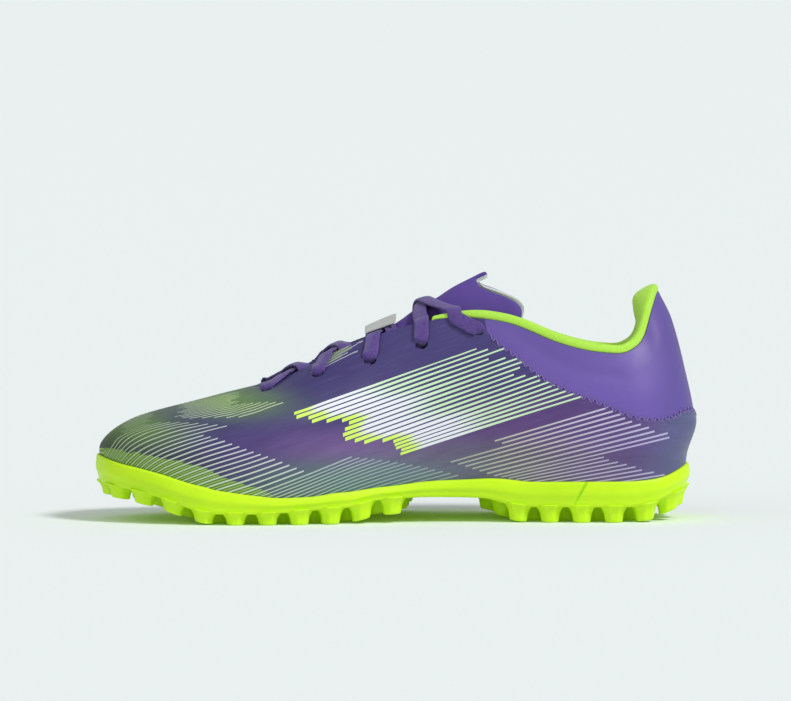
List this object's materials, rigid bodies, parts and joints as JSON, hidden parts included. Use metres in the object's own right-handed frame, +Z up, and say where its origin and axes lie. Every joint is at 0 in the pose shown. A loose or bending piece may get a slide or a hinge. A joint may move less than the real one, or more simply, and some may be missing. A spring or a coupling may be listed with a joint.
{
  "type": "turf shoe",
  "caption": "Low-cut turf shoe with a lugged rubber sole, a thin one-piece upper, a padded collar, a pointed tongue and flat laces.",
  "frame": {"origin": "on the floor under the middle of the shoe's overall box", "axes": "+X towards the heel, +Y towards the outer (lateral) side, +Z up"},
  "size_m": [0.289, 0.1034, 0.1199],
  "materials": {
    "neon_rubber": "moulded, satin",
    "printed_skin": "printed synthetic skin, low sheen",
    "neon_lining": "knitted lining over foam",
    "tongue_cloth": "matte textile",
    "insole_foam": "cloth over foam",
    "lace_weave": "flat woven lace",
    "keeper_tape": "woven tape"
  },
  "bodies": {
    "root": {"outsole": "neon_rubber", "upper": "printed_skin", "collar_lining": "neon_lining", "tongue": "tongue_cloth", "insole": "insole_foam", "lace_cross_1": "lace_weave", "lace_cross_2": "lace_weave", "lace_cross_3": "lace_weave", "lace_cross_4": "lace_weave", "lace_keeper": "keeper_tape"}
  },
  "joints": []
}
